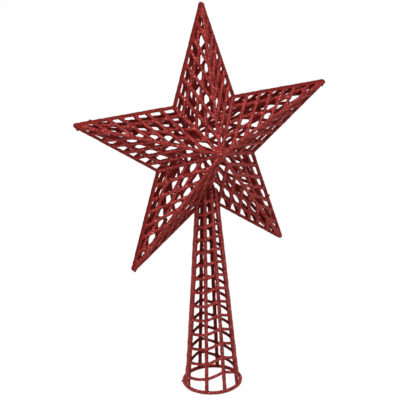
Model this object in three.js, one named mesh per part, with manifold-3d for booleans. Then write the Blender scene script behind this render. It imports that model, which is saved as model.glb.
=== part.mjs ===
// Glittered star tree topper: two lattice star shells over a tapered two-half socket.
// Millimetres, +Z up. The front faces -Y and the foot ring rests on z = 0.

import * as THREE from 'three';
import { mergeGeometries, mergeVertices } from 'three/addons/utils/BufferGeometryUtils.js';
import Module from 'manifold-3d';

const wasm = await Module();
wasm.setup();

// Star outline, seen from the front
const STAR_POINTS = 5;
const TIP_RADIUS = 122; // centre to the sharp corner of a tip, before it is rounded
const NOTCH_RADIUS = 46.6;
const TIP_ROUNDING = 2.0;
const TIP_ROUNDING_STEPS = 4; // on each half of a tip

// Star shells, measured from the parting plane between front and back
const PARTING_GAP = 0.3; // the glue line
const RIM_DEPTH = 1.0;
const APEX_DEPTH = 27.9;
const SHELL_THICKNESS = 2.1;
const RIM_WIDTH = 2.4;
const LAND_WIDTH = 2.0; // the flat back of the rim, where the shells are glued

// Star lattice, on each of the ten facets of a shell: strands run from the rim to the
// ridge, and the columns between them are crossed by short links
const STRAND_WIDTH = 2.4;
const LINK_WIDTH = 2.4;
const RIDGE_WIDTH = 2.3;
const VALLEY_WIDTH = 3.5;
const STRANDS_ON_RIM = [0.13, 0.27, 0.39, 0.53, 0.64, 0.79, 0.92]; // shares, notch to tip
const STRANDS_ON_RIDGE = [0.105, 0.22, 0.34, 0.44, 0.57, 0.72, 0.8]; // shares, centre to tip
// Places of the links in each column, as shares of the way from the rim to the ridge
const LINKS_IN_COLUMNS = [[0.22, 0.5, 0.73], [0.26, 0.51, 0.72], [0.3, 0.6], [0.34, 0.67], [0.48], [0.4], []];
const SMALLEST_GAP = 2.5; // square millimetres: a smaller gap is moulded shut

// Pegs on the back shell that line the shells up, one in each tip
const PEG_RADIUS = 0.9;
const PEG_LENGTH = 1.6;
const PEG_CLEARANCE = 0.3;
const PEG_SIDES = 12;

// Foot ring
const RING_RADIUS = 24.2;
const RING_TUBE_RADIUS = 1.4;
const RING_STEPS = 40;
const RING_SIDES = 8;

// Socket, two halves of straight ribs with a peaked strand at each level
const STAR_HEIGHT = 214.6; // foot to the centre of the star
const SOCKET_MOUTH_RADIUS = 23.5;
const SOCKET_NECK_RADIUS = 8.8; // at the height of the lowest notch
const RIB_TURNS = [0, 51.5, 90, 128.5, 180]; // degrees round one half
const RIB_WIDTH = 2.7;
const RIB_DEPTH = 2.3;
const SEAM_RIB_WIDTH = 3.7; // both halves together
const SOCKET_STRAND_WIDTH = 2.3;
const SOCKET_STRAND_DEPTH = 1.8;
const STRAND_TUCK = 0.3; // a strand ends this far short of the middle of its rib
const FIRST_PEAK_HEIGHT = 18.6; // above the ring
const FIRST_PITCH = 13.3;
const PITCH_LOSS = 0.27; // each level sits this much closer than the one below
const PEAK_SLOPE = 0.43; // drop of a strand per millimetre away from its peak
const SEAT_CLEARANCE = 0.3; // socket to star and socket to ring

const FRONT = -1;
const BACK = 1;
const CORNER_GRID = 1e-4; // shared corners are rounded to this
const WELD_DISTANCE = 1e-5;

const redGlitter = () => new THREE.MeshStandardMaterial({ color: 0xa3141c, roughness: 0.45, metalness: 0.3 });

function toGeometry(solid) {
  const { numProp, vertProperties, triVerts } = solid.getMesh();
  const geometry = new THREE.BufferGeometry();
  geometry.setAttribute('position', new THREE.BufferAttribute(vertProperties, numProp));
  geometry.setIndex(new THREE.BufferAttribute(triVerts, 1));
  return geometry;
}

function toSolid(geometry) {
  const bare = geometry.clone();
  bare.deleteAttribute('normal');
  bare.deleteAttribute('uv');
  const merged = mergeVertices(bare, WELD_DISTANCE);
  const vertProperties = new Float32Array(merged.attributes.position.array);
  const triVerts = new Uint32Array(merged.index.array);
  return new wasm.Manifold(new wasm.Mesh({ numProp: 3, vertProperties, triVerts }));
}

function namedMesh(name, solid) {
  const geometry = toGeometry(solid);
  geometry.computeVertexNormals();
  const mesh = new THREE.Mesh(geometry, redGlitter());
  mesh.name = name;
  return mesh;
}

// Neighbouring facets work out a shared corner apart, so both settle on the same figure.
const settled = (length) => Math.round(length / CORNER_GRID) * CORNER_GRID;

const joined = (solids) => solids.reduce((whole, solid) => whole.add(solid));
const onCircle = (radius, turn) => new THREE.Vector2(Math.cos(turn), Math.sin(turn)).multiplyScalar(radius);

// One straight side of the star: its notch, its tip and the unit normals that measure
// how far a point lies from the outline and from the ridge.
function starSide(tipTurn, notchTurn, grow = 0) {
  const notch = onCircle(NOTCH_RADIUS, notchTurn);
  const tip = onCircle(TIP_RADIUS, tipTurn);
  const inward = tip.clone().sub(notch).rotateAround(new THREE.Vector2(), Math.PI / 2).normalize();
  if (inward.dot(notch) > 0) inward.negate();
  const toCentre = -inward.dot(notch);
  const scale = (toCentre + grow) / toCentre;
  notch.multiplyScalar(scale);
  tip.multiplyScalar(scale);
  const fromRidge = tip.clone().rotateAround(new THREE.Vector2(), Math.PI / 2).normalize();
  if (fromRidge.dot(notch) < 0) fromRidge.negate();
  return { notch, tip, inward, fromRidge, toCentre: toCentre + grow };
}

// The ten sides, anticlockwise: each tip's side before it, then the side after it.
function starSides(grow = 0) {
  const sides = [];
  for (let point = 0; point < STAR_POINTS; point += 1) {
    const tipTurn = Math.PI / 2 + (point * 2 * Math.PI) / STAR_POINTS;
    for (const hand of [-1, 1]) {
      sides.push(starSide(tipTurn, tipTurn + (hand * Math.PI) / STAR_POINTS, grow));
    }
  }
  return sides;
}

// Points from the side's end of the rounding to the middle of the tip.
function roundedTip({ tip, inward, fromRidge }) {
  const away = tip.length();
  const halfAngle = Math.acos(THREE.MathUtils.clamp(-inward.dot(fromRidge), -1, 1));
  const centre = tip.clone().setLength(away - TIP_ROUNDING / Math.sin(halfAngle));
  const outward = inward.clone().negate();
  const ahead = tip.clone().normalize();
  const sweep = Math.acos(outward.dot(ahead));
  const points = [];
  for (let step = 0; step <= TIP_ROUNDING_STEPS; step += 1) {
    const share = step / TIP_ROUNDING_STEPS;
    const spoke = outward.clone().multiplyScalar(Math.sin((1 - share) * sweep));
    spoke.addScaledVector(ahead, Math.sin(share * sweep)).setLength(TIP_ROUNDING);
    points.push(centre.clone().add(spoke));
  }
  return points;
}

// Keeps the part of a convex polygon on the `inner` side of a line, `margin` away from it.
function beside(polygon, [start, end], inner, margin) {
  const normal = end.clone().sub(start).rotateAround(new THREE.Vector2(), Math.PI / 2).normalize();
  if (normal.dot(inner) < normal.dot(start)) normal.negate();
  const limit = normal.dot(start) + margin;
  const kept = [];
  polygon.forEach((point, index) => {
    const next = polygon[(index + 1) % polygon.length];
    const here = normal.dot(point) - limit;
    const there = normal.dot(next) - limit;
    if (here >= 0) kept.push(point);
    if (here * there < 0) kept.push(point.clone().lerp(next, here / (here - there)));
  });
  return kept;
}

// The gaps of one facet, column by column from the valley and row by row from the rim.
function facetGaps({ notch, tip }) {
  const valley = [notch, new THREE.Vector2()];
  const strands = STRANDS_ON_RIM.map((share, index) => (
    [notch.clone().lerp(tip, share), tip.clone().multiplyScalar(STRANDS_ON_RIDGE[index])]
  ));
  const gaps = [];
  LINKS_IN_COLUMNS.forEach((shares, column) => {
    const near = column === 0 ? valley : strands[column - 1];
    const far = strands[column];
    const across = (share) => [near, far].map(([head, foot]) => head.clone().lerp(foot, share));
    const rows = [0, ...shares, 1].map(across);
    for (let row = 1; row < rows.length; row += 1) {
      const [upper, lower] = [rows[row - 1], rows[row]];
      const corners = [upper[0], upper[1], lower[1], lower[0]];
      const middle = corners.reduce((sum, corner) => sum.addScaledVector(corner, 1 / 4), new THREE.Vector2());
      let gap = beside(corners, near, middle, (column === 0 ? VALLEY_WIDTH : STRAND_WIDTH) / 2);
      gap = beside(gap, far, middle, STRAND_WIDTH / 2);
      gap = beside(gap, upper, middle, row === 1 ? RIM_WIDTH : LINK_WIDTH / 2);
      gap = beside(gap, lower, middle, (row === rows.length - 1 ? RIDGE_WIDTH : LINK_WIDTH) / 2);
      if (gap.length > 2 && Math.abs(THREE.ShapeUtils.area(gap)) > SMALLEST_GAP) gaps.push(gap);
    }
  });
  return gaps;
}

// One side of the outline, anticlockwise, with its half of the rounded tip.
function sideEdge(side) {
  const edge = [side.notch, ...roundedTip(side)];
  return edge[0].cross(edge[1]) < 0 ? edge.reverse() : edge;
}

// A ten-sided pyramid over the star. The roof climbs from `rimDepth` at the outline to
// `apexDepth` over the centre. The `underside` starts at the outline and steps inwards:
// each step has its distance from the outline and its depth, worked out from the roof's.
function pyramid({ grow, rimDepth, apexDepth, underside, facing }) {
  const corners = [];
  const place = ([point, depth]) => corners.push(...[point.x, facing * depth, point.y].map(settled));
  const addTriangle = (a, b, c) => (facing === FRONT ? [a, b, c] : [a, c, b]).forEach(place);
  const middle = new THREE.Vector2();
  starSides(grow).forEach((side, index) => {
    const outline = side.inward.dot(side.notch);
    const slope = (apexDepth - rimDepth) / side.toCentre;
    const roof = (point) => rimDepth + slope * (side.inward.dot(point) - outline);
    const roofEdge = sideEdge(side).map((point) => [point, roof(point)]);
    const rows = underside.map(({ inset, depth }) => (
      sideEdge(starSides(grow - inset)[index]).map((point) => [point, depth(roof(point))])
    ));
    const floorMiddle = [middle, underside.at(-1).depth(apexDepth)];
    for (let end = 1; end < roofEdge.length; end += 1) {
      let [a, b] = [roofEdge[end - 1], roofEdge[end]];
      addTriangle([middle, apexDepth], a, b);
      for (const row of rows) {
        const [c, d] = [row[end - 1], row[end]];
        addTriangle(c, d, b);
        addTriangle(c, b, a);
        [a, b] = [c, d];
      }
      addTriangle(floorMiddle, b, a);
    }
  });
  const geometry = new THREE.BufferGeometry();
  geometry.setAttribute('position', new THREE.Float32BufferAttribute(corners, 3));
  return toSolid(geometry);
}

// Straight cutters for all the gaps, drawn along Y as the mould opens.
function gapCutters() {
  const depth = 3 * APEX_DEPTH; // well past both shells
  const prisms = starSides().flatMap(facetGaps).map((gap) => (
    new THREE.ExtrudeGeometry(new THREE.Shape(gap), { depth, bevelEnabled: false })
  ));
  return toSolid(mergeGeometries(prisms).rotateX(Math.PI / 2).translate(0, depth / 2, 0));
}

// A round post along Y between two depths, in the middle of the land that fills one tip.
function tipPost(point, radius, fromDepth, toDepth, facing) {
  const [outer, inner] = [0, -LAND_WIDTH].map((grow) => roundedTip(starSides(grow)[2 * point]).at(-1));
  const place = outer.lerp(inner, 0.5);
  const geometry = new THREE.CylinderGeometry(radius, radius, toDepth - fromDepth, PEG_SIDES);
  geometry.translate(place.x, (facing * (fromDepth + toDepth)) / 2, place.y);
  return toSolid(geometry);
}

// An even plate under the roof, with a flat land behind the rim where the shells are
// glued together. The land fills each tip, where the back shell has its pegs.
function starShell(facing) {
  const underside = [
    { inset: 0, depth: () => PARTING_GAP / 2 },
    { inset: LAND_WIDTH, depth: () => PARTING_GAP / 2 },
    { inset: LAND_WIDTH, depth: (roof) => roof - SHELL_THICKNESS },
  ];
  let shell = pyramid({ grow: 0, rimDepth: RIM_DEPTH, apexDepth: APEX_DEPTH, underside, facing });
  shell = shell.subtract(gapCutters());
  for (let point = 0; point < STAR_POINTS; point += 1) {
    if (facing === BACK) {
      shell = shell.add(tipPost(point, PEG_RADIUS, -PEG_LENGTH, PEG_LENGTH, facing));
    } else {
      const holeDepth = PEG_LENGTH + PEG_CLEARANCE;
      shell = shell.subtract(tipPost(point, PEG_RADIUS + PEG_CLEARANCE, -PARTING_GAP, holeDepth, facing));
    }
  }
  return shell;
}

// The foot ring, or with `grow` the room that the socket halves leave round it.
function footRing(grow = 0) {
  const centreHeight = RING_TUBE_RADIUS * Math.cos(Math.PI / RING_SIDES);
  const profile = [];
  for (let corner = 0; corner <= RING_SIDES; corner += 1) {
    const turn = ((corner + 0.5) * 2 * Math.PI) / RING_SIDES;
    const spoke = onCircle(RING_TUBE_RADIUS + grow, turn);
    profile.push(new THREE.Vector2(RING_RADIUS + spoke.x, centreHeight + spoke.y));
  }
  return toSolid(new THREE.LatheGeometry(profile, RING_STEPS).rotateX(Math.PI / 2));
}

const socketTaper = (SOCKET_MOUTH_RADIUS - SOCKET_NECK_RADIUS) / (STAR_HEIGHT - NOTCH_RADIUS);
const socketRadiusAt = (height) => SOCKET_MOUTH_RADIUS - socketTaper * height;

function onSocket(turnDegrees, height, facing) {
  const across = onCircle(socketRadiusAt(height), THREE.MathUtils.degToRad(turnDegrees));
  return new THREE.Vector3(across.x, facing * across.y, height);
}

// A straight bar of rectangular section whose depth lies along `outward`.
function bar(start, end, width, depth, outward) {
  const along = end.clone().sub(start);
  const geometry = new THREE.BoxGeometry(width, depth, along.length());
  along.normalize();
  const sideways = outward.clone().cross(along).normalize();
  const basis = new THREE.Matrix4().makeBasis(sideways, along.clone().cross(sideways), along);
  basis.setPosition(start.clone().lerp(end, 0.5));
  return toSolid(geometry.applyMatrix4(basis));
}

// Heights of the strands' peaks, from the ring up to where the star covers them.
function peakHeights(top) {
  const heights = [];
  let height = FIRST_PEAK_HEIGHT;
  let pitch = FIRST_PITCH;
  while (height < top && pitch > SOCKET_STRAND_WIDTH) {
    heights.push(height);
    height += pitch;
    pitch -= PITCH_LOSS;
  }
  return heights;
}

function socketHalf(facing) {
  const top = STAR_HEIGHT - NOTCH_RADIUS / 2; // well inside the star, which cuts it off
  const bars = [];
  const level = (point) => point.clone().setZ(0);
  for (const turn of RIB_TURNS) {
    const isSeam = turn % 180 === 0;
    const [foot, head] = [onSocket(turn, RING_TUBE_RADIUS, facing), onSocket(turn, top, facing)];
    bars.push(bar(foot, head, isSeam ? SEAM_RIB_WIDTH : RIB_WIDTH, RIB_DEPTH, level(foot)));
  }
  for (const peak of peakHeights(top)) {
    const crossings = RIB_TURNS.map((turn) => {
      const away = socketRadiusAt(peak) * Math.abs(Math.cos(THREE.MathUtils.degToRad(turn)));
      return onSocket(turn, peak - PEAK_SLOPE * away, facing);
    });
    for (let index = 1; index < crossings.length; index += 1) {
      const [from, to] = [crossings[index - 1], crossings[index]];
      const tuck = STRAND_TUCK / from.distanceTo(to);
      const [start, end] = [from.clone().lerp(to, tuck), to.clone().lerp(from, tuck)];
      bars.push(bar(start, end, SOCKET_STRAND_WIDTH, SOCKET_STRAND_DEPTH, level(start).add(level(end))));
    }
  }
  const ownSide = new THREE.BoxGeometry(4 * SOCKET_MOUTH_RADIUS, 2 * SOCKET_MOUTH_RADIUS, 2 * STAR_HEIGHT);
  ownSide.translate(0, facing * (SOCKET_MOUTH_RADIUS + PARTING_GAP / 2), STAR_HEIGHT);
  const starRoom = pyramid({
    grow: SEAT_CLEARANCE,
    rimDepth: RIM_DEPTH + SEAT_CLEARANCE,
    apexDepth: APEX_DEPTH + SEAT_CLEARANCE,
    underside: [{ inset: 0, depth: () => -APEX_DEPTH }],
    facing,
  });
  return joined(bars)
    .intersect(toSolid(ownSide))
    .subtract(starRoom.translate([0, 0, STAR_HEIGHT]))
    .subtract(footRing(SEAT_CLEARANCE));
}

const star = new THREE.Group();
star.position.z = STAR_HEIGHT;
star.add(namedMesh('front_star_shell', starShell(FRONT)));
star.add(namedMesh('back_star_shell', starShell(BACK)));

const socket = new THREE.Group();
socket.add(namedMesh('front_socket_half', socketHalf(FRONT)));
socket.add(namedMesh('back_socket_half', socketHalf(BACK)));
socket.add(namedMesh('foot_ring', footRing()));

const starTopper = new THREE.Group();
starTopper.add(star, socket);

export default starTopper;
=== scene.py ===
"""Looks of a glittered star tree topper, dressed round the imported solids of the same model.

Metres, +Z up. The front of the star faces -Y and the foot ring rests on z = 0. Each piece is
a lattice of round strands, cast into one closed skin with a fine glitter grain.
"""

import logging
import math
from abc import ABC
from abc import abstractmethod
from dataclasses import dataclass
from dataclasses import field
from enum import Enum

import bpy
import numpy as np
from mathutils import Matrix
from mathutils import Vector


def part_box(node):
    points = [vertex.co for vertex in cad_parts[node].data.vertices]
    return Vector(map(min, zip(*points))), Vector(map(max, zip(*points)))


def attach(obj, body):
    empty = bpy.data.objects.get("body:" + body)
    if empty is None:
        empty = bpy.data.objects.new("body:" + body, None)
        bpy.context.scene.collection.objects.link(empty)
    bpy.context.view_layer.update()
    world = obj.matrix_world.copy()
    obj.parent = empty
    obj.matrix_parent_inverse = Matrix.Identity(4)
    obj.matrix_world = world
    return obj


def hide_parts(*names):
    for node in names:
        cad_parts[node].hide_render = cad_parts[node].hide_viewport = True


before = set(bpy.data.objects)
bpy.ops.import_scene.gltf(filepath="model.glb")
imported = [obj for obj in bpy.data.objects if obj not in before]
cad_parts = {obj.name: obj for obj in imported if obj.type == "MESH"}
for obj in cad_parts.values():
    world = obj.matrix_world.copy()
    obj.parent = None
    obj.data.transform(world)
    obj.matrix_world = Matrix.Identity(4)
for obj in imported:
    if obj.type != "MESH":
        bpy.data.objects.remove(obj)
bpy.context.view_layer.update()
MM = 0.001
MOST_TRIANGLES = 190_000  # in one piece
BLOB_LENGTH = 0.1 * MM
NOISE_MIDDLE = 0.5
GRAIN_MIDDLE = 0.45  # a little low, so that the grain stands out more than it sinks in
NOISE_GAIN = 4.0  # brings a noise, taken about its middle, to about -1 to 1
NOISE_DETAIL = 1.0
WANDER_SHIFT, SWELL_SHIFT, GRAIN_SHIFT = 0.0, 7.0, 19.0  # keep the three noises of a piece apart

log = logging.getLogger("star_topper")


class Side(Enum):
    """Which half of the moulding a piece belongs to."""

    FRONT = -1
    BACK = 1


def add_object(name: str, data: bpy.types.ID) -> bpy.types.Object:
    """Makes an object and links it to the scene.

    Args:
        name: its name.
        data: its mesh, camera or light.

    Returns:
        The object.
    """
    added = bpy.data.objects.new(name, data)
    bpy.context.scene.collection.objects.link(added)
    return added


@dataclass
class Lattice:
    """Centre-lines and webs that are cast into one skin, each point with its own radius."""

    points: list[tuple[float, float, float]] = field(default_factory=list)
    radii: list[float] = field(default_factory=list)
    edges: list[tuple[int, int]] = field(default_factory=list)
    faces: list[list[int]] = field(default_factory=list)

    def _keep(self, path: list[Vector], radii: list[float]) -> range:
        """Adds points with their radii.

        Args:
            path: the points.
            radii: one radius for each.

        Returns:
            The points' numbers.
        """
        first = len(self.points)
        self.points += [tuple(point) for point in path]
        self.radii += radii
        return range(first, len(self.points))

    def strand(self, path: list[Vector], radius: float | list[float], closed: bool = False) -> None:
        """Adds a strand along a path.

        Args:
            path: points of the centre-line, in order.
            radius: one radius for the whole strand, or one for each point.
            closed: whether the last point joins the first.
        """
        radii = radius if isinstance(radius, list) else [radius] * len(path)
        numbers = list(self._keep(path, radii))
        self.edges += list(zip(numbers, numbers[1:]))
        if closed:
            self.edges.append((numbers[-1], numbers[0]))

    def blob(self, place: Vector, radius: float) -> None:
        """Adds a round lump, as a very short strand."""
        self.strand([place, place + Vector((0, 0, BLOB_LENGTH))], radius)

    def web(self, corners: list[Vector], radius: float) -> None:
        """Adds a filled patch between strands, with a thickness of `radius` on each side."""
        self.faces.append(list(self._keep(corners, [radius] * len(corners))))

    def as_object(self, name: str) -> bpy.types.Object:
        """Makes the object that the casting tree works on.

        Args:
            name: name of the piece.

        Returns:
            The new object, linked to the scene.
        """
        mesh = bpy.data.meshes.new(name)
        mesh.from_pydata(self.points, self.edges, self.faces)
        attribute = mesh.attributes.new("strand_radius", "FLOAT", "POINT")
        attribute.data.foreach_set("value", np.array(self.radii, np.float32))
        return add_object(name, mesh)


@dataclass(frozen=True)
class Casting:
    """How a lattice becomes a skin: the voxel size, and how uneven the moulding and its coat are."""

    voxel: float
    seed: float
    point_spacing: float = 0.45 * MM
    web_density: float = 2.6e6
    wander: float = 0.12 * MM
    wander_length: float = 9 * MM
    swell: float = 0.10
    swell_length: float = 5 * MM
    grain: float = 0.16 * MM
    grain_length: float = 1.5 * MM
    smoothing_rounds: int = 2
    level: float = 0.5
    allowance: float = 0.18 * MM

    def inputs(self, material: bpy.types.Material) -> dict[str, object]:
        """The tree's named inputs for this casting."""
        return {
            "Point Spacing": self.point_spacing,
            "Web Density": self.web_density,
            "Wander": self.wander,
            "Wander Length": self.wander_length,
            "Swell": self.swell,
            "Swell Length": self.swell_length,
            "Voxel Size": self.voxel,
            "Level": self.level,
            "Allowance": self.allowance,
            "Smoothing Rounds": self.smoothing_rounds,
            "Grain": self.grain,
            "Grain Length": self.grain_length,
            "Seed": self.seed,
            "Material": material,
        }


class Nodes:
    """A node tree, with short ways to add its nodes."""

    def __init__(self, tree: bpy.types.NodeTree) -> None:
        """Takes the tree."""
        self.tree = tree

    def add(
        self, kind: str, wires: dict[str | int, object] | None = None, **settings: object
    ) -> bpy.types.Node:
        """Adds a node.

        Args:
            kind: its type.
            wires: a socket or a plain value for each input, by the input's name or number.
            settings: values for its properties.

        Returns:
            The node.
        """
        node = self.tree.nodes.new(kind)
        for name, value in settings.items():
            setattr(node, name, value)
        for name, value in (wires or {}).items():
            if isinstance(value, bpy.types.NodeSocket):
                self.tree.links.new(value, node.inputs[name])
            else:
                node.inputs[name].default_value = value
        return node

    def maths(self, operation: str, *operands: object) -> bpy.types.NodeSocket:
        """Adds a Math node for sockets or plain numbers, and gives its result."""
        return self.add("ShaderNodeMath", dict(enumerate(operands)), operation=operation).outputs[0]

    def vector(self, operation: str, wires: dict[str | int, object]) -> bpy.types.NodeSocket:
        """Adds a Vector Math node, and gives its result."""
        return self.add("ShaderNodeVectorMath", wires, operation=operation).outputs[0]

    def drift(self, colour: bpy.types.NodeSocket, reach: bpy.types.NodeSocket) -> bpy.types.NodeSocket:
        """Turns a random colour into a vector that points any way.

        Args:
            colour: the colour, whose parts lie about the middle of a noise.
            reach: how long the vector is for a colour one unit away from that middle.

        Returns:
            The vector.
        """
        direction = self.vector("SUBTRACT", {0: colour, 1: (NOISE_MIDDLE,) * 3})
        return self.vector("SCALE", {0: direction, "Scale": reach})


class CastingTree(Nodes):
    """The Geometry Nodes tree that turns strands and webs into one closed, grainy skin."""

    def __init__(self) -> None:
        """Builds the tree once; every piece uses it with its own inputs."""
        super().__init__(bpy.data.node_groups.new("cast_lattice", "GeometryNodeTree"))
        self._declare()
        points = self._points()
        skin = self._skin(points)
        self._finish(skin)

    def _declare(self) -> None:
        sockets = self.tree.interface
        sockets.new_socket("Geometry", in_out="OUTPUT", socket_type="NodeSocketGeometry")
        sockets.new_socket("Geometry", in_out="INPUT", socket_type="NodeSocketGeometry")
        lengths = ("Point Spacing", "Wander", "Wander Length", "Swell Length", "Voxel Size", "Allowance")
        numbers = ("Grain", "Grain Length", "Web Density", "Swell", "Level", "Seed")
        for name in lengths + numbers:
            sockets.new_socket(name, in_out="INPUT", socket_type="NodeSocketFloat")
        sockets.new_socket("Smoothing Rounds", in_out="INPUT", socket_type="NodeSocketInt")
        sockets.new_socket("Material", in_out="INPUT", socket_type="NodeSocketMaterial")
        self.given = self.tree.nodes.new("NodeGroupInput").outputs
        self.result = self.tree.nodes.new("NodeGroupOutput").inputs

    def _noise(self, length: bpy.types.NodeSocket, shift: float) -> bpy.types.Node:
        """Adds a seeded noise whose features are about `length` long.

        Args:
            length: the size of the features.
            shift: added to the seed, so that two noises differ.

        Returns:
            The noise node.
        """
        wires = {
            "W": self.maths("ADD", self.given["Seed"], shift),
            "Scale": self.maths("DIVIDE", 1.0, length),
            "Detail": NOISE_DETAIL,
        }
        return self.add("ShaderNodeTexNoise", wires, noise_dimensions="4D")

    def _swing(self, noise: bpy.types.Node, middle: float) -> bpy.types.NodeSocket:
        """The noise as a number of about -1 to 1, taken about a middle."""
        return self.maths("MULTIPLY", self.maths("SUBTRACT", noise.outputs["Fac"], middle), NOISE_GAIN)

    def _points(self) -> bpy.types.NodeSocket:
        """Spreads points along the strands and over the webs, and lets them wander a little.

        Returns:
            The points.
        """
        lattice = self.given["Geometry"]
        faces = self.add("GeometryNodeInputMeshEdgeNeighbors").outputs["Face Count"]
        is_strand = self.add("FunctionNodeCompare", {2: faces}, data_type="INT", operation="EQUAL")
        wires = {"Mesh": lattice, "Selection": is_strand.outputs["Result"]}
        strands = self.add("GeometryNodeMeshToCurve", wires)
        wires = {"Curve": strands.outputs["Curve"], "Length": self.given["Point Spacing"]}
        along = self.add("GeometryNodeCurveToPoints", wires, mode="LENGTH")
        wires = {"Mesh": lattice, "Density": self.given["Web Density"], "Seed": self.given["Seed"]}
        over = self.add("GeometryNodeDistributePointsOnFaces", wires, distribute_method="RANDOM")
        both = self.add("GeometryNodeJoinGeometry", {0: along.outputs["Points"]})
        self.tree.links.new(over.outputs["Points"], both.inputs[0])
        noise = self._noise(self.given["Wander Length"], WANDER_SHIFT)
        reach = self.maths("MULTIPLY", self.given["Wander"], NOISE_GAIN)
        wires = {"Geometry": both.outputs[0], "Offset": self.drift(noise.outputs["Color"], reach)}
        return self.add("GeometryNodeSetPosition", wires).outputs[0]

    def _skin(self, points: bpy.types.NodeSocket) -> bpy.types.NodeSocket:
        """Casts the points into a volume and takes its surface.

        Args:
            points: points that carry the strand radius.

        Returns:
            The closed surface.
        """
        radius = self.add("GeometryNodeInputNamedAttribute", {"Name": "strand_radius"}, data_type="FLOAT")
        swing = self._swing(self._noise(self.given["Swell Length"], SWELL_SHIFT), NOISE_MIDDLE)
        swollen = self.maths("MULTIPLY_ADD", swing, self.given["Swell"], 1.0)
        voxel, level = self.given["Voxel Size"], self.given["Level"]
        inset = self.maths("MULTIPLY_ADD", voxel, level, self.given["Allowance"])
        thickness = self.maths("MULTIPLY_ADD", radius.outputs["Attribute"], swollen, inset)
        wires = {"Points": points, "Voxel Size": voxel, "Radius": thickness}
        volume = self.add("GeometryNodePointsToVolume", wires, resolution_mode="VOXEL_SIZE")
        wires = {"Volume": volume.outputs["Volume"], "Threshold": level}
        return self.add("GeometryNodeVolumeToMesh", wires).outputs["Mesh"]

    def _finish(self, skin: bpy.types.NodeSocket) -> None:
        """Smooths the skin, roughens it with the glitter grain and gives it its material.

        Args:
            skin: the closed surface.
        """
        place = self.add("GeometryNodeInputPosition").outputs[0]
        wires = {"Value": place, "Iterations": self.given["Smoothing Rounds"]}
        blur = self.add("GeometryNodeBlurAttribute", wires, data_type="FLOAT_VECTOR")
        wires = {"Geometry": skin, "Position": blur.outputs["Value"]}
        smooth = self.add("GeometryNodeSetPosition", wires)
        height = self._swing(self._noise(self.given["Grain Length"], GRAIN_SHIFT), GRAIN_MIDDLE)
        normal = self.add("GeometryNodeInputNormal").outputs["Normal"]
        grain = self.maths("MULTIPLY", height, self.given["Grain"])
        wires = {"Geometry": smooth.outputs[0], "Offset": self.vector("SCALE", {0: normal, "Scale": grain})}
        rough = self.add("GeometryNodeSetPosition", wires)
        shaded = self.add("GeometryNodeSetShadeSmooth", {"Geometry": rough.outputs[0]})
        whole = self.add("GeometryNodeRealizeInstances", {0: shaded.outputs[0]})
        wires = {"Geometry": whole.outputs[0], "Material": self.given["Material"]}
        dressed = self.add("GeometryNodeSetMaterial", wires)
        self.tree.links.new(dressed.outputs[0], self.result[0])

    def cast(
        self, lattice: Lattice, name: str, casting: Casting, material: bpy.types.Material
    ) -> bpy.types.Object:
        """Casts a lattice.

        Args:
            lattice: strands and webs.
            name: name of the piece.
            casting: sizes and seed for this piece.
            material: the finish of its skin.

        Returns:
            The piece, a plain mesh with no modifier.
        """
        piece = lattice.as_object(name)
        modifier = piece.modifiers.new("cast", "NODES")
        modifier.node_group = self.tree
        values = casting.inputs(material)
        for item in self.tree.interface.items_tree:
            if item.in_out == "INPUT" and item.name in values:
                modifier[item.identifier] = values[item.name]
        bpy.context.view_layer.update()
        evaluated = piece.evaluated_get(bpy.context.evaluated_depsgraph_get())
        skin = bpy.data.meshes.new_from_object(evaluated)
        piece.modifiers.clear()
        lines = piece.data
        piece.data = skin
        bpy.data.meshes.remove(lines)
        self._thin(piece)
        piece.data.name = name
        return piece

    def _thin(self, piece: bpy.types.Object) -> None:
        """Drops corners where the skin is flattest, if it has more triangles than a piece may have.

        Args:
            piece: the cast piece.
        """
        triangles = sum(len(face.vertices) - 2 for face in piece.data.polygons)
        if triangles <= MOST_TRIANGLES:
            return
        thinner = piece.modifiers.new("thin", "DECIMATE")
        thinner.ratio = MOST_TRIANGLES / triangles
        full = piece.data
        evaluated = piece.evaluated_get(bpy.context.evaluated_depsgraph_get())
        piece.data = bpy.data.meshes.new_from_object(evaluated)
        piece.modifiers.clear()
        bpy.data.meshes.remove(full)


def corners_of(piece: bpy.types.Object) -> np.ndarray:
    """Reads a piece's vertices.

    Args:
        piece: a cast piece.

    Returns:
        Their places, one row each.
    """
    flat = np.empty(3 * len(piece.data.vertices), np.float32)
    piece.data.vertices.foreach_get("co", flat)
    return flat.reshape(-1, 3)


def place_corners(piece: bpy.types.Object, corners: np.ndarray) -> None:
    """Moves the piece's vertices to new places."""
    piece.data.vertices.foreach_set("co", corners.astype(np.float32).ravel())
    piece.data.update()


def close_seam(corners: np.ndarray, side: Side, glue_line: float) -> None:
    """Flattens the glued face of a half and moves it over its half of the glue line.

    Args:
        corners: the half's vertices, which are moved.
        side: which half it is.
        glue_line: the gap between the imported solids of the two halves.
    """
    depth = side.value * corners[:, 1]
    corners[:, 1] = side.value * np.where(depth < glue_line / 2, 0, depth)


def mark_coat_and_shade(
    piece: bpy.types.Object, above: np.ndarray, reach: float, least: float, most: np.ndarray | float = 1.0
) -> None:
    """Marks how much glitter covers each vertex, with painted shade folded in: 1 is full, 0 a thin dusting
    and -1 none, which is bare plastic darkened as painted shade.

    Args:
        piece: a cast piece.
        above: how far each vertex lies outside the middle of the fade, in metres.
        reach: the distance over which the coat fades.
        least: the coat on the inner side, where low values also paint shade.
        most: the thickest that the coat gets at each vertex; the star's shells lower it to paint shade
            along the rim and at the tips.
    """
    share = np.clip(above / reach + 0.5, 0, 1)
    thickness = np.minimum(least + (1 - least) * share * share * (3 - 2 * share), most)
    coat_and_shade = piece.data.attributes.new("coat_and_shade", "FLOAT", "POINT")
    coat_and_shade.data.foreach_set("value", thickness.astype(np.float32))


def dress(piece: bpy.types.Object, node: str) -> None:
    """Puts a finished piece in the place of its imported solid.

    Args:
        piece: the finished piece.
        node: the solid that it stands for.
    """
    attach(piece, "root")
    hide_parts(node)
    log.info("%s: %d faces", piece.name, len(piece.data.polygons))


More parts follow.
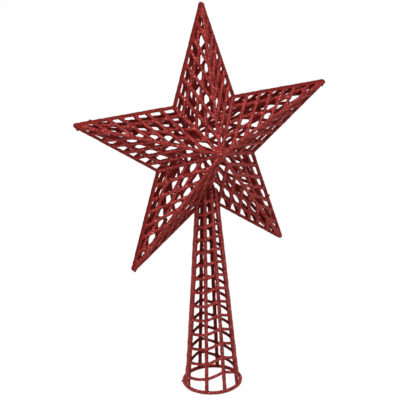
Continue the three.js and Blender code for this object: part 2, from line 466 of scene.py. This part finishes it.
class CastPiece(ABC):
    """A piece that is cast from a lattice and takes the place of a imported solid."""

    casting: Casting

    @abstractmethod
    def layout(self) -> Lattice:
        """The piece's strands and webs."""

    @abstractmethod
    def trim(self, piece: bpy.types.Object) -> None:
        """Flattens the cast piece where it is glued or stands, and marks its coat and painted shade."""

    def build(self, tree: CastingTree, node: str, material: bpy.types.Material) -> None:
        """Makes and dresses the piece.

        Args:
            tree: casts the lattice.
            node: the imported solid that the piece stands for.
            material: its finish.
        """
        piece = tree.cast(self.layout(), f"{node}_skin", self.casting, material)
        self.trim(piece)
        dress(piece, node)


@dataclass(frozen=True)
class StarSide:
    """One straight side of the star, with the unit normal that tells how far inside a point lies."""

    notch: Vector
    tip: Vector
    inward: Vector
    to_centre: float

    def distance_in(self, point: Vector) -> float:
        """How far a point lies inside the outline."""
        return self.inward.dot(point - self.notch)


def across(vector: Vector, towards: Vector) -> Vector:
    """The unit vector square to `vector`, on the side that `towards` lies."""
    turned = Vector((-vector.y, vector.x)).normalized()
    return turned if turned.dot(towards) > 0 else -turned


@dataclass(frozen=True)
class StarOutline:
    """The five-pointed outline, seen from the front, about the star's centre."""

    points: int = 5
    tip_radius: float = 122 * MM
    notch_radius: float = 46.6 * MM
    tip_rounding: float = 2.0 * MM
    rounding_steps: int = 5

    def turn(self, step: float) -> float:
        """The angle of a corner: whole steps are tips, and half steps are notches."""
        return math.pi / 2 + 2 * math.pi * step / self.points

    @property
    def half_tip(self) -> float:
        """Half of the angle of a tip."""
        side = self.sides()[0]
        return math.asin(side.to_centre / self.tip_radius)

    @property
    def reach(self) -> float:
        """Centre to the end of a rounded tip."""
        return self.tip_radius - self.tip_rounding / math.sin(self.half_tip) + self.tip_rounding

    def sides(self) -> list[StarSide]:
        """Lists the ten sides.

        Returns:
            Two sides for each tip: the one before it and the one after it.
        """
        found = []
        for point in range(self.points):
            for hand in (-0.5, 0.5):
                tip_turn, notch_turn = self.turn(point), self.turn(point + hand)
                tip = self.tip_radius * Vector((math.cos(tip_turn), math.sin(tip_turn)))
                notch = self.notch_radius * Vector((math.cos(notch_turn), math.sin(notch_turn)))
                inward = across(tip - notch, -notch)
                found.append(StarSide(notch, tip, inward, -inward.dot(notch)))
        return found

    def loop(self, inset: float) -> list[Vector]:
        """The closed outline, moved inwards.

        Args:
            inset: distance from the true outline, less than the tip's rounding.

        Returns:
            Points in order: for each tip its notch, then the round of the tip.
        """
        scale = 1 - inset / self.sides()[0].to_centre
        sweep = math.pi / 2 - self.half_tip
        path = []
        for point in range(self.points):
            notch_turn = self.turn(point - 0.5)
            path.append(scale * self.notch_radius * Vector((math.cos(notch_turn), math.sin(notch_turn))))
            ahead = self.turn(point)
            middle = (self.reach - self.tip_rounding) * Vector((math.cos(ahead), math.sin(ahead)))
            for step in range(-self.rounding_steps, self.rounding_steps + 1):
                turn = ahead + sweep * step / self.rounding_steps
                spoke = Vector((math.cos(turn), math.sin(turn)))
                path.append(middle + (self.tip_rounding - inset) * spoke)
        return path


@dataclass
class StarShell(CastPiece):
    """Half of the star: ten sloping lattice facets between a rim, five ridges and five valleys."""

    side: Side
    centre_height: float
    outline: StarOutline = field(default_factory=StarOutline)
    rim_depth: float = 1.0 * MM
    apex_depth: float = 27.9 * MM
    parting_gap: float = 0.3 * MM
    strands_on_rim: tuple[float, ...] = (0.13, 0.27, 0.39, 0.53, 0.64, 0.79, 0.92)
    strands_on_ridge: tuple[float, ...] = (0.105, 0.22, 0.34, 0.44, 0.57, 0.72, 0.80)
    links_in_columns: tuple[tuple[float, ...], ...] = (
        (0.22, 0.50, 0.73), (0.26, 0.51, 0.72), (0.30, 0.60), (0.34, 0.67), (0.48,), (0.40,), ()
    )
    strand_radius: float = 1.25 * MM
    link_radius: float = 1.2 * MM
    link_drop: float = 0.9 * MM
    ridge_radius: float = 1.3 * MM
    valley_radius: float = 1.75 * MM
    centre_rise: float = 1.6 * MM
    centre_reach: float = 30 * MM
    centre_radius: float = 1.1 * MM
    centre_swell: float = 0.4
    hub_reach: float = 7 * MM
    rim_insets: tuple[float, float] = (0.85 * MM, 1.5 * MM)
    rim_radius: float = 0.8 * MM
    crossing_radius: float = 1.25 * MM
    web_radius: float = 0.8 * MM
    web_drop: float = 0.8 * MM
    flash: tuple[tuple[int, float], ...] = ((2, 0.80), (3, 0.90), (5, 0.94), (7, 0.48), (8, 0.91))
    flash_radius: float = 0.8 * MM
    flash_stand: float = 0.35 * MM
    tip_ball_radius: float = 2.0 * MM
    tip_ball_depth: float = 0.7 * MM
    spine_steps: int = 24
    coat_shift: float = 0.1 * MM
    coat_reach: float = 0.9 * MM
    inner_coat_and_shade: float = 0.0
    # painted shade: the coat falls to its darkest along the rim and at the ends of the tips, fading in over
    # the next two distances
    painted_edge_shade: float = -1.0
    rim_shade_fade: float = 1.5 * MM
    tip_shade_fade: float = 1.6 * MM
    casting: Casting = field(default_factory=lambda: Casting(voxel=0.5 * MM, seed=3.0))

    @property
    def slope(self) -> float:
        """Rise of a facet for each metre inside the outline."""
        return (self.apex_depth - self.rim_depth) / self.outline.sides()[0].to_centre

    @property
    def steepness(self) -> float:
        """Depth taken up by a unit of thickness square to a facet."""
        return math.hypot(1, self.slope)

    def at(self, point: Vector, inside: float, sunk: float) -> Vector:
        """A place in the wall of the shell.

        Args:
            point: the place, seen from the front, about the star's centre.
            inside: how far it lies inside the outline.
            sunk: how far it lies below the outer face, square to the facet.

        Returns:
            The point in the frame.
        """
        roof = self.rim_depth + self.slope * inside + self.centre_rise * self.nearness(point) ** 2
        depth = max(roof - self.steepness * sunk, self.parting_gap)
        return Vector((point.x, self.side.value * depth, self.centre_height + point.y))

    def nearness(self, point: Vector) -> float:
        """1 at the star's centre, and 0 from the reach of its point outwards."""
        return max(0.0, 1 - point.length / self.centre_reach)

    def _rim(self, lattice: Lattice) -> None:
        """Adds the rim, two fused bars deep.

        Args:
            lattice: takes the bars.
        """
        for inset in self.rim_insets:
            path = [self.at(point, inset, self.rim_radius) for point in self.outline.loop(inset)]
            lattice.strand(path, self.rim_radius, closed=True)

    def _bar(
        self, lattice: Lattice, star_side: StarSide, path: list[Vector], radius: float, drop: float = 0.0
    ) -> None:
        """Adds a bar that lies in the wall of one facet and swells a little near the centre.

        Args:
            lattice: takes the bar.
            star_side: the facet's side of the star.
            path: the bar's centre-line, seen from the front.
            radius: its radius.
            drop: how far it lies below the outer face of the wall.
        """
        places = [self.at(point, star_side.distance_in(point), radius + drop) for point in path]
        lattice.strand(places, [radius * (1 + self.centre_swell * self.nearness(point)) for point in path])

    def _spine(self, lattice: Lattice, star_side: StarSide, end: Vector, radius: float) -> None:
        """Adds a ridge or a valley, which narrows to the sharp point at the star's centre.

        Args:
            lattice: takes the bar.
            star_side: the side of the star that it borders.
            end: its outer end, seen from the front.
            radius: its radius away from the centre.
        """
        path = [end * step / self.spine_steps for step in range(self.spine_steps + 1)]
        radii = [radius + (self.centre_radius - radius) * self.nearness(point) for point in path]
        places = [self.at(point, star_side.distance_in(point), r) for point, r in zip(path, radii)]
        lattice.strand(places, radii)

    def _spines(self, lattice: Lattice, star_side: StarSide) -> None:
        """Adds the ridge and the valley of one side.

        Args:
            lattice: takes the bars.
            star_side: the side.
        """
        tip = star_side.tip.normalized() * (self.outline.reach - self.outline.tip_rounding)
        notch = star_side.notch * (1 - self.valley_radius / self.outline.notch_radius)
        self._spine(lattice, star_side, tip, self.ridge_radius)
        self._spine(lattice, star_side, notch, self.valley_radius)

    def _lines(self, star_side: StarSide) -> list[tuple[Vector, Vector]]:
        """Lists the valley and the strands of one side.

        Args:
            star_side: the side.

        Returns:
            The two ends of each, at the rim and at the ridge.
        """
        heads = [star_side.notch.lerp(star_side.tip, share) for share in self.strands_on_rim]
        feet = [star_side.tip * share for share in self.strands_on_ridge]
        return [(star_side.notch, Vector((0, 0))), *zip(heads, feet)]

    def _lattice(self, lattice: Lattice, star_side: StarSide) -> None:
        """Adds the strands of one side, the links between them and a lump where they meet.

        Args:
            lattice: takes the strands.
            star_side: the side.
        """
        lines = self._lines(star_side)
        for head, foot in lines[1:]:
            start = head + star_side.inward * self.strand_radius
            self._bar(lattice, star_side, [start, foot], self.strand_radius)
        for near, far, shares in zip(lines, lines[1:], self.links_in_columns):
            for share in shares:
                ends = [head.lerp(foot, share) for head, foot in (near, far)]
                self._bar(lattice, star_side, ends, self.link_radius, self.link_drop)
                for end in ends:
                    sunk = self.strand_radius + self.link_drop
                    lattice.blob(self.at(end, star_side.distance_in(end), sunk), self.crossing_radius)

    def _flash(self, lattice: Lattice) -> None:
        """Adds the specks of flash that stand on the rim.

        Args:
            lattice: takes the specks.
        """
        sides = self.outline.sides()
        for number, share in self.flash:
            side = sides[number]
            place = side.notch.lerp(side.tip, share) - side.inward * self.flash_stand
            lattice.blob(self.at(place, 0.0, self.flash_stand), self.flash_radius)

    def _hub_web(self, lattice: Lattice, star_side: StarSide) -> None:
        """Fills the point at the star's centre, between its ridge and its valley.

        Args:
            lattice: takes the web.
            star_side: the side.
        """
        ends = [end.normalized() * self.hub_reach for end in (star_side.tip, star_side.notch)]
        sunk = self.web_radius + self.web_drop
        corners = [self.at(p, star_side.distance_in(p), sunk) for p in (Vector((0, 0)), *ends)]
        lattice.web(corners, self.web_radius)

    def _tip_ball(self, lattice: Lattice, star_side: StarSide) -> None:
        """Rounds the end of the tip, where the glued halves hold a drop of the coat.

        Args:
            lattice: takes the drop.
            star_side: a side that ends in the tip.
        """
        place = star_side.tip.normalized() * (self.outline.reach - self.tip_ball_radius)
        depth = self.side.value * self.tip_ball_depth
        lattice.blob(Vector((place.x, depth, self.centre_height + place.y)), self.tip_ball_radius)

    def _tip_web(self, lattice: Lattice, star_side: StarSide) -> None:
        """Fills the tip past the last strand.

        Args:
            lattice: takes the web.
            star_side: the side.
        """
        head, foot = self._lines(star_side)[-1]
        tip = star_side.tip.normalized() * (self.outline.reach - 2 * self.web_radius)
        corners = [head + star_side.inward * self.web_radius, tip, foot]
        sunk = self.web_radius + self.web_drop
        lattice.web([self.at(p, star_side.distance_in(p), sunk) for p in corners], self.web_radius)

    def layout(self) -> Lattice:
        """Lays out the shell.

        Returns:
            Its strands and webs.
        """
        lattice = Lattice()
        self._rim(lattice)
        self._flash(lattice)
        for star_side in self.outline.sides():
            self._spines(lattice, star_side)
            self._lattice(lattice, star_side)
            self._hub_web(lattice, star_side)
            self._tip_web(lattice, star_side)
            self._tip_ball(lattice, star_side)
        return lattice

    def trim(self, piece: bpy.types.Object) -> None:
        """Flattens the shell's glued face, then marks the glitter on its outer side and painted shade along
        its rim and at its tips.

        Args:
            piece: the cast shell.
        """
        corners = corners_of(piece)
        close_seam(corners, self.side, self.parting_gap)
        place_corners(piece, corners)
        depth = self.side.value * corners[:, 1]
        height = corners[:, 2] - self.centre_height
        turn = np.arctan2(height, corners[:, 0]) - self.outline.turn(-0.5)
        step = 2 * math.pi / self.outline.points
        from_tip = np.abs((turn % step) - step / 2)
        away = np.hypot(corners[:, 0], height)
        square = math.pi / 2 - self.outline.half_tip
        inside = self.outline.sides()[0].to_centre - away * np.cos(from_tip - square)
        nearness = np.maximum(0, 1 - away / self.centre_reach)
        roof = self.rim_depth + self.slope * inside + self.centre_rise * nearness**2
        above = (depth - roof) / self.steepness + self.strand_radius
        # painted shade along the rim and at the tip ends, where the coat is held down
        from_end = np.minimum(inside / self.rim_shade_fade, (self.outline.reach - away) / self.tip_shade_fade)
        most = self.painted_edge_shade + from_end
        mark_coat_and_shade(piece, above + self.coat_shift, self.coat_reach, self.inner_coat_and_shade, most)


@dataclass
class Socket(CastPiece):
    """Half of the tapered lattice socket that slips over the top shoot of a tree."""

    side: Side
    shell: StarShell
    mouth_radius: float = 23.5 * MM
    neck_radius: float = 8.8 * MM
    foot_height: float = 2.4 * MM
    rib_turns: tuple[float, ...] = (0, 51.5, 90, 128.5, 180)
    rib_radius: float = 1.4 * MM
    rib_step: float = 1 * MM
    seam_rib_radius: float = 1.6 * MM
    seam_rib_offset: float = 0.6 * MM
    strand_radius: float = 1.12 * MM
    strand_inset: float = 0.2 * MM
    first_peak: float = 18.6 * MM
    first_pitch: float = 13.3 * MM
    pitch_loss: float = 0.27 * MM
    peak_slope: float = 0.43
    foot_flare: float = 0.45 * MM
    flare_height: float = 4 * MM
    first_bow: float = 1.0
    bow: float = 0.8
    bow_steps: int = 6
    coat_shift: float = 0.2 * MM
    coat_reach: float = 1.2 * MM
    # the inner side is bare plastic, darkened further as painted shade
    inner_coat_and_shade: float = -1.0
    casting: Casting = field(default_factory=lambda: Casting(voxel=0.5 * MM, seed=11.0))

    @property
    def taper(self) -> float:
        """Loss of radius for each metre of height."""
        outline = self.shell.outline
        return (self.mouth_radius - self.neck_radius) / (self.shell.centre_height - outline.notch_radius)

    def radius_at(self, height: float) -> float:
        """The radius of the ribs' centre-lines at a height."""
        return self.mouth_radius - self.taper * height

    def at(self, turn: float, height: float, radius: float) -> Vector:
        """A point round the socket; a turn of 90 degrees is the middle of this half."""
        angle = math.radians(turn)
        return Vector((radius * math.cos(angle), self.side.value * radius * math.sin(angle), height))

    def _covered(self, place: Vector) -> bool:
        """Tells whether the star covers a place on the socket.

        Args:
            place: a point on the centre-line of a rib or strand.

        Returns:
            True where the place lies inside the star.
        """
        shell = self.shell
        flat = Vector((place.x, place.z - shell.centre_height))
        inside = min(side.distance_in(flat) for side in self._lower_sides())
        return inside > 0 and abs(place.y) < shell.rim_depth + shell.slope * inside + self.rib_radius

    def _lower_sides(self) -> list[StarSide]:
        """The two sides of the star that meet at its lowest notch."""
        return sorted(self.shell.outline.sides(), key=lambda side: side.notch.y)[:2]

    def _ribs(self, lattice: Lattice) -> None:
        """Adds the ribs, which flare at the ring and end where the star covers them.

        Args:
            lattice: takes the ribs.
        """
        for turn in self.rib_turns:
            is_seam = turn % 180 == 0
            radius = self.seam_rib_radius if is_seam else self.rib_radius
            path = []
            height = self.foot_height
            while height < self.shell.centre_height:
                place = self.at(turn, height, self.radius_at(height))
                if is_seam:
                    place.y += self.side.value * self.seam_rib_offset
                if self._covered(place):
                    break
                path.append(place)
                height += self.rib_step
            radii = [radius + self.foot_flare * max(0, 1 - p.z / self.flare_height) for p in path]
            lattice.strand(path, radii)

    def _level(self, lattice: Lattice, peak: float, bow: float) -> None:
        """Adds the strands of one level, which peak over the middle of the half.

        Args:
            lattice: takes the strands.
            peak: height of the peak.
            bow: 0 for straight spans between the ribs, 1 for spans that follow the round.
        """
        radius = self.radius_at(peak) - self.strand_inset
        corners = []
        for turn in self.rib_turns:
            drop = self.peak_slope * radius * abs(math.cos(math.radians(turn)))
            corners.append((turn, peak - drop))
        for (turn, height), (next_turn, next_height) in zip(corners, corners[1:]):
            start = self.at(turn, height, radius)
            end = self.at(next_turn, next_height, radius)
            path = []
            for step in range(self.bow_steps + 1):
                share = step / self.bow_steps
                chord = start.lerp(end, share)
                round_turn = turn + (next_turn - turn) * share
                path.append(chord.lerp(self.at(round_turn, chord.z, radius), bow))
            path = [place for place in path if not self._covered(place)]
            if len(path) > 1:
                lattice.strand(path, self.strand_radius)

    def layout(self) -> Lattice:
        """Lays out the half socket, in levels that close up towards the star.

        Returns:
            Its ribs and strands.
        """
        lattice = Lattice()
        self._ribs(lattice)
        top = self.shell.centre_height - self.shell.outline.notch_radius / 2
        peak, pitch, bow = self.first_peak, self.first_pitch, self.first_bow
        while peak < top and pitch > 2 * self.strand_radius:
            self._level(lattice, peak, bow)
            peak += pitch
            pitch -= self.pitch_loss
            bow = self.bow
        return lattice

    def trim(self, piece: bpy.types.Object) -> None:
        """Flattens the half's glued face, then marks the glitter on its outer side and bare plastic with
        painted shade on its inner side.

        Args:
            piece: the cast half.
        """
        corners = corners_of(piece)
        close_seam(corners, self.side, self.shell.parting_gap)
        place_corners(piece, corners)
        away = np.hypot(corners[:, 0], corners[:, 1])
        above = away - (self.mouth_radius - self.taper * corners[:, 2])
        mark_coat_and_shade(piece, above + self.coat_shift, self.coat_reach, self.inner_coat_and_shade)


@dataclass
class FootRing(CastPiece):
    """The round ring at the foot of the socket, with the nub that its mould's gate left."""

    radius: float = 24.2 * MM
    tube_radius: float = 1.4 * MM
    steps: int = 72
    nub_turn: float = 157.0
    nub_reach: float = 1.3 * MM
    nub_radius: float = 0.9 * MM
    coat_share: float = 0.9
    coat_reach: float = 0.9 * MM
    # the inner side is darker: partly bare plastic, partly painted shade
    inner_coat_and_shade: float = -0.4
    casting: Casting = field(default_factory=lambda: Casting(voxel=0.45 * MM, seed=23.0, swell=0.06))

    def at(self, turn: float, radius: float) -> Vector:
        """A point round the ring, at the height of its centre-line."""
        return Vector((radius * math.cos(turn), radius * math.sin(turn), self.tube_radius))

    def layout(self) -> Lattice:
        """Lays out the ring and its nub.

        Returns:
            Their strands.
        """
        lattice = Lattice()
        turns = [2 * math.pi * step / self.steps for step in range(self.steps)]
        lattice.strand([self.at(turn, self.radius) for turn in turns], self.tube_radius, closed=True)
        nub = math.radians(self.nub_turn)
        ends = [self.radius, self.radius + self.nub_reach]
        lattice.strand([self.at(nub, radius) for radius in ends], self.nub_radius)
        return lattice

    def trim(self, piece: bpy.types.Object) -> None:
        """Flattens the ring where it stands, then marks the glitter on its outer side and a darker inner
        side, partly bare plastic and partly painted shade.

        Args:
            piece: the cast ring.
        """
        corners = corners_of(piece)
        corners[:, 2] = np.maximum(corners[:, 2], 0)
        place_corners(piece, corners)
        away = np.hypot(corners[:, 0], corners[:, 1])
        above = away - self.radius + self.coat_share * self.tube_radius
        mark_coat_and_shade(piece, above, self.coat_reach, self.inner_coat_and_shade)


class Shader(Nodes):
    """The shader nodes of a material or of the world."""

    def __init__(self, owner: bpy.types.ID) -> None:
        """Starts an empty node tree.

        Args:
            owner: the material or world that holds the tree.
        """
        owner.use_nodes = True
        super().__init__(owner.node_tree)
        self.tree.nodes.clear()

    def show(self, kind: str, surface: bpy.types.Node) -> None:
        """Links a surface to a new output node of a kind."""
        self.add(kind, {"Surface": surface.outputs[0]})

    def mix(self, factor: bpy.types.NodeSocket, first: object, second: object) -> bpy.types.NodeSocket:
        """Mixes two colours.

        Args:
            factor: how much of the second colour shows.
            first: a colour or a socket.
            second: a colour or a socket.

        Returns:
            The mixed colour.
        """
        ends = [(*end, 1) if isinstance(end, tuple) else end for end in (first, second)]
        wires = {"Factor": factor, 6: ends[0], 7: ends[1]}
        return self.add("ShaderNodeMix", wires, data_type="RGBA").outputs[2]

    def spread(
        self, value: bpy.types.NodeSocket, start: float, end: float, low: float = 0.0, high: float = 1.0
    ) -> bpy.types.NodeSocket:
        """Maps a value from one range to another, held at both ends.

        Args:
            value: the value.
            start: where the first range starts.
            end: where it ends.
            low: the result at its start.
            high: the result at its end.

        Returns:
            The mapped value.
        """
        wires = {"Value": value, "From Min": start, "From Max": end, "To Min": low, "To Max": high}
        return self.add("ShaderNodeMapRange", wires).outputs["Result"]


@dataclass(frozen=True)
class RedGlitter:
    """Fine red glitter over dark plastic: flakes that each lean their own way, in small clumps, a few of
    them painted as pale glints; the bare plastic's dark colour also paints shade.
    """

    deep: tuple[float, float, float] = (0.155, 0.008, 0.006)
    bright: tuple[float, float, float] = (0.60, 0.082, 0.075)
    # painted glints: a few flakes take this pale colour as highlights
    painted_glint: tuple[float, float, float] = (0.85, 0.28, 0.26)
    dusted: tuple[float, float, float] = (0.38, 0.032, 0.026)
    # bare plastic, dark enough to also paint shade on the socket's and ring's inner sides, the rim and the
    # tip ends
    bare_and_shade: tuple[float, float, float] = (0.20, 0.012, 0.008)
    sheen: tuple[float, float, float] = (1.0, 0.55, 0.52)
    flake_size: float = 0.7 * MM
    flake_lean: float = 0.75
    bare_lean: float = 0.2
    clump_size: float = 1.1 * MM
    clump_detail: float = 2.0
    clump_fade: tuple[float, float] = (0.35, 0.65)
    painted_glint_share: float = 0.03
    painted_glint_edge: float = 0.01
    dullest_flake: float = 0.5
    metallic: float = 0.5
    coated_roughness: float = 0.38
    bare_roughness: float = 0.65
    gloss: float = 0.15

    def build(self) -> bpy.types.Material:
        """Makes the material, which reads the coat and painted shade that each vertex carries.

        Returns:
            The material.
        """
        material = bpy.data.materials.new("red_glitter_with_painted_light")
        shader = Shader(material)
        place = shader.add("ShaderNodeTexCoord").outputs["Object"]
        wires = {"Vector": place, "Scale": 1 / self.flake_size}
        flakes = shader.add("ShaderNodeTexVoronoi", wires, feature="F1").outputs["Color"]
        wires = {"Vector": place, "Scale": 1 / self.clump_size, "Detail": self.clump_detail}
        clumps = shader.add("ShaderNodeTexNoise", wires).outputs["Fac"]
        parts = shader.add("ShaderNodeSeparateColor", {"Color": flakes}).outputs
        coat_and_shade = shader.add("ShaderNodeAttribute", attribute_name="coat_and_shade").outputs["Fac"]
        clump = shader.spread(clumps, *self.clump_fade)
        # painted glints: this share of flakes takes the pale highlight colour
        no_painted_glint = 1 - self.painted_glint_share
        is_painted_glint = shader.spread(parts["Green"], no_painted_glint, no_painted_glint + self.painted_glint_edge)
        glitter = shader.mix(is_painted_glint, shader.mix(clump, self.deep, self.bright), self.painted_glint)
        # below zero the coat gives bare plastic, which also paints shade
        is_dusted = shader.spread(coat_and_shade, -1.0, 0.0)
        plastic_and_shade = shader.mix(is_dusted, self.bare_and_shade, self.dusted)
        is_coated = shader.spread(coat_and_shade, 0.0, 1.0)
        tone = shader.spread(parts["Red"], 0.0, 1.0, self.dullest_flake, 1.0)
        colour = shader.mix(tone, (0, 0, 0), shader.mix(is_coated, plastic_and_shade, glitter))
        wires = {
            "Base Color": colour,
            "Metallic": shader.spread(coat_and_shade, 0.0, 1.0, 0.0, self.metallic),
            "Roughness": shader.spread(coat_and_shade, 0.0, 1.0, self.bare_roughness, self.coated_roughness),
            "Specular IOR Level": self.gloss,
            "Specular Tint": (*self.sheen, 1),
            "Normal": self._leaning_normal(shader, flakes, coat_and_shade),
        }
        shader.show("ShaderNodeOutputMaterial", shader.add("ShaderNodeBsdfPrincipled", wires))
        return material

    def _leaning_normal(
        self, shader: Shader, flakes: bpy.types.NodeSocket, coat_and_shade: bpy.types.NodeSocket
    ) -> bpy.types.NodeSocket:
        """Leans the normal of each flake its own way.

        Args:
            shader: holds the nodes.
            flakes: the random colour of each flake.
            coat_and_shade: how much glitter covers the place, with painted shade folded in.

        Returns:
            The leaning normal.
        """
        lean = shader.drift(flakes, shader.spread(coat_and_shade, 0.0, 1.0, self.bare_lean, self.flake_lean))
        normal = shader.add("ShaderNodeNewGeometry").outputs["Normal"]
        return shader.vector("NORMALIZE", {0: shader.vector("ADD", {0: normal, 1: lean})})


@dataclass(frozen=True)
class Lamp:
    """A square soft lamp that faces the star: its place is about the star's centre."""

    name: str
    place: tuple[float, float, float]
    size: float
    power: float


@dataclass
class Studio:
    """A pale floor that fades to white, soft lamps and a camera at the photograph's angle."""

    aim: Vector
    azimuth: float = -26.20
    elevation: float = 21.29
    roll: float = -1.80
    distance: float = 1.1312
    aside: float = 4.32 * MM
    above: float = 44.17 * MM
    sensor_width: float = 36
    focal_length: float = 126.2
    floor_size: float = 12.0
    floor_colour: tuple[float, float, float] = (0.86, 0.86, 0.86)
    floor_glow: float = 1.03
    floor_glow_share: float = 0.93
    ambient: float = 0.38
    lamps: tuple[Lamp, ...] = (
        Lamp("key", (-0.28, -0.38, 0.78), 0.40, 6.0),
        Lamp("back", (0.9, 1.3, 1.2), 0.9, 9.0),
    )

    def _axes(self) -> tuple[Vector, Vector, Vector]:
        """Works out how the camera is turned.

        Returns:
            Its right, up and backward directions.
        """
        azimuth, elevation, roll = map(math.radians, (self.azimuth, self.elevation, self.roll))
        flat = math.cos(elevation)
        back = Vector((math.sin(azimuth) * flat, -math.cos(azimuth) * flat, math.sin(elevation)))
        level = Vector((math.cos(azimuth), math.sin(azimuth), 0))
        upright = back.cross(level)
        right = level * math.cos(roll) + upright * math.sin(roll)
        up = upright * math.cos(roll) - level * math.sin(roll)
        return right, up, back

    def camera(self) -> None:
        """Makes the scene's camera."""
        right, up, back = self._axes()
        place = self.aim + back * self.distance - right * self.aside - up * self.above
        data = bpy.data.cameras.new("camera")
        data.sensor_width = self.sensor_width
        data.lens = self.focal_length
        camera = add_object("camera", data)
        camera.matrix_world = Matrix.Translation(place) @ Matrix((right, up, back)).transposed().to_4x4()
        bpy.context.scene.camera = camera

    def _seen(self, shader: Shader) -> bpy.types.NodeSocket:
        """Tells the rays that see the white backdrop from those that carry light.

        Args:
            shader: holds the nodes.

        Returns:
            1 for rays from the camera or from a mirror or glass, and 0 for the rest.
        """
        path = shader.add("ShaderNodeLightPath").outputs
        seen = shader.maths("MAXIMUM", path["Is Camera Ray"], path["Is Glossy Ray"])
        return shader.maths("MAXIMUM", seen, path["Is Transmission Ray"])

    def world(self) -> None:
        """White where it is seen, and a softer level as light."""
        world = bpy.data.worlds.new("studio")
        bpy.context.scene.world = world
        shader = Shader(world)
        strength = shader.spread(self._seen(shader), 0.0, 1.0, self.ambient, 1.0)
        background = shader.add("ShaderNodeBackground", {"Color": (1, 1, 1, 1), "Strength": strength})
        shader.show("ShaderNodeOutputWorld", background)

    def floor(self) -> None:
        """A plain pale floor that looks white and keeps a faint shadow."""
        half = self.floor_size / 2
        mesh = bpy.data.meshes.new("floor")
        corners = [(-half, -half, 0), (half, -half, 0), (half, half, 0), (-half, half, 0)]
        mesh.from_pydata(corners, [], [(0, 1, 2, 3)])
        floor = add_object("floor", mesh)
        material = bpy.data.materials.new("pale_floor")
        shader = Shader(material)
        matt = shader.add("ShaderNodeBsdfDiffuse", {"Color": (*self.floor_colour, 1)})
        glow = shader.add("ShaderNodeEmission", {"Strength": self.floor_glow})
        share = shader.spread(self._seen(shader), 0.0, 1.0, 0.0, self.floor_glow_share)
        both = shader.add("ShaderNodeMixShader", {0: share, 1: matt.outputs[0], 2: glow.outputs[0]})
        shader.show("ShaderNodeOutputMaterial", both)
        mesh.materials.append(material)

    def light(self, lamp: Lamp) -> None:
        """Adds a lamp.

        Args:
            lamp: its place about the star's centre, the length of its sides and its watts.
        """
        data = bpy.data.lights.new(lamp.name, "AREA")
        data.size = lamp.size
        data.energy = lamp.power
        place = Vector(lamp.place)
        fitting = add_object(lamp.name, data)
        fitting.location = self.aim + place
        fitting.rotation_euler = place.to_track_quat("Z", "Y").to_euler()

    def build(self) -> None:
        """Sets up the whole studio."""
        self.camera()
        self.world()
        self.floor()
        for lamp in self.lamps:
            self.light(lamp)
        bpy.context.scene.view_settings.view_transform = "Standard"


def main() -> None:
    """Builds the topper and its studio."""
    logging.basicConfig(level=logging.INFO, format="%(name)s: %(message)s")
    outline = StarOutline()
    centre_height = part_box("front_star_shell")[1].z - outline.reach
    log.info("star centre at %.2f mm", centre_height / MM)
    material = RedGlitter().build()
    tree = CastingTree()
    front, back = StarShell(Side.FRONT, centre_height), StarShell(Side.BACK, centre_height)
    pieces: dict[str, CastPiece] = {
        "front_star_shell": front,
        "back_star_shell": back,
        "front_socket_half": Socket(Side.FRONT, front),
        "back_socket_half": Socket(Side.BACK, back),
        "foot_ring": FootRing(),
    }
    for node, piece in pieces.items():
        piece.build(tree, node, material)
    Studio(Vector((0, 0, centre_height))).build()


if __name__ == "__main__":
    main()
